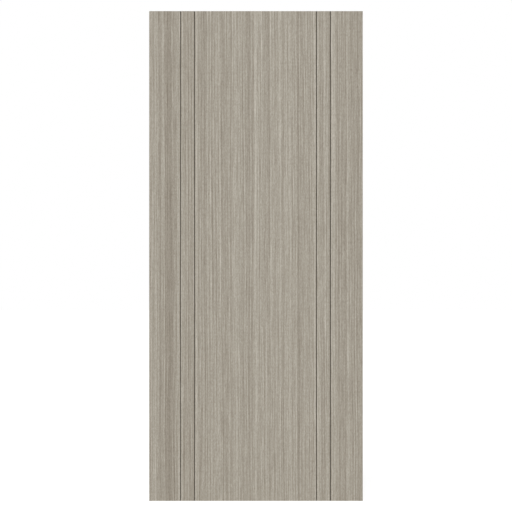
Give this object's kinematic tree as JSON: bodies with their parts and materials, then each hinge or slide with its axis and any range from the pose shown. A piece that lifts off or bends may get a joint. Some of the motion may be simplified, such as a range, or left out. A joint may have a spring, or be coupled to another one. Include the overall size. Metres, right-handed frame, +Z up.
{
  "type": "fire door leaf",
  "caption": "Flush solid-core fire door leaf, faced both sides in grey wood-effect laminate with upright grooves near each long edge, to hang on hinges.",
  "frame": {"origin": "on the hinge edge's face, at mid-thickness, at the foot of the leaf", "axes": "+X across the leaf from the hinge edge to the lock edge, +Y through the thickness from the front face to the back face, +Z up"},
  "size_m": [0.864, 0.044, 1.981],
  "materials": {
    "laminate": "satin grey straight-grain wood effect",
    "edging": "satin, matching the laminate",
    "fibreboard": "sawn edge",
    "softwood": "sawn",
    "particleboard": "sawn"
  },
  "bodies": {
    "root": {"core": "particleboard", "hinge_stile": "softwood", "lock_stile": "softwood", "top_rail": "softwood", "bottom_rail": "softwood", "front_board": "fibreboard", "back_board": "fibreboard", "front_laminate": "laminate", "back_laminate": "laminate", "hinge_edging": "edging", "lock_edging": "edging"}
  },
  "joints": []
}
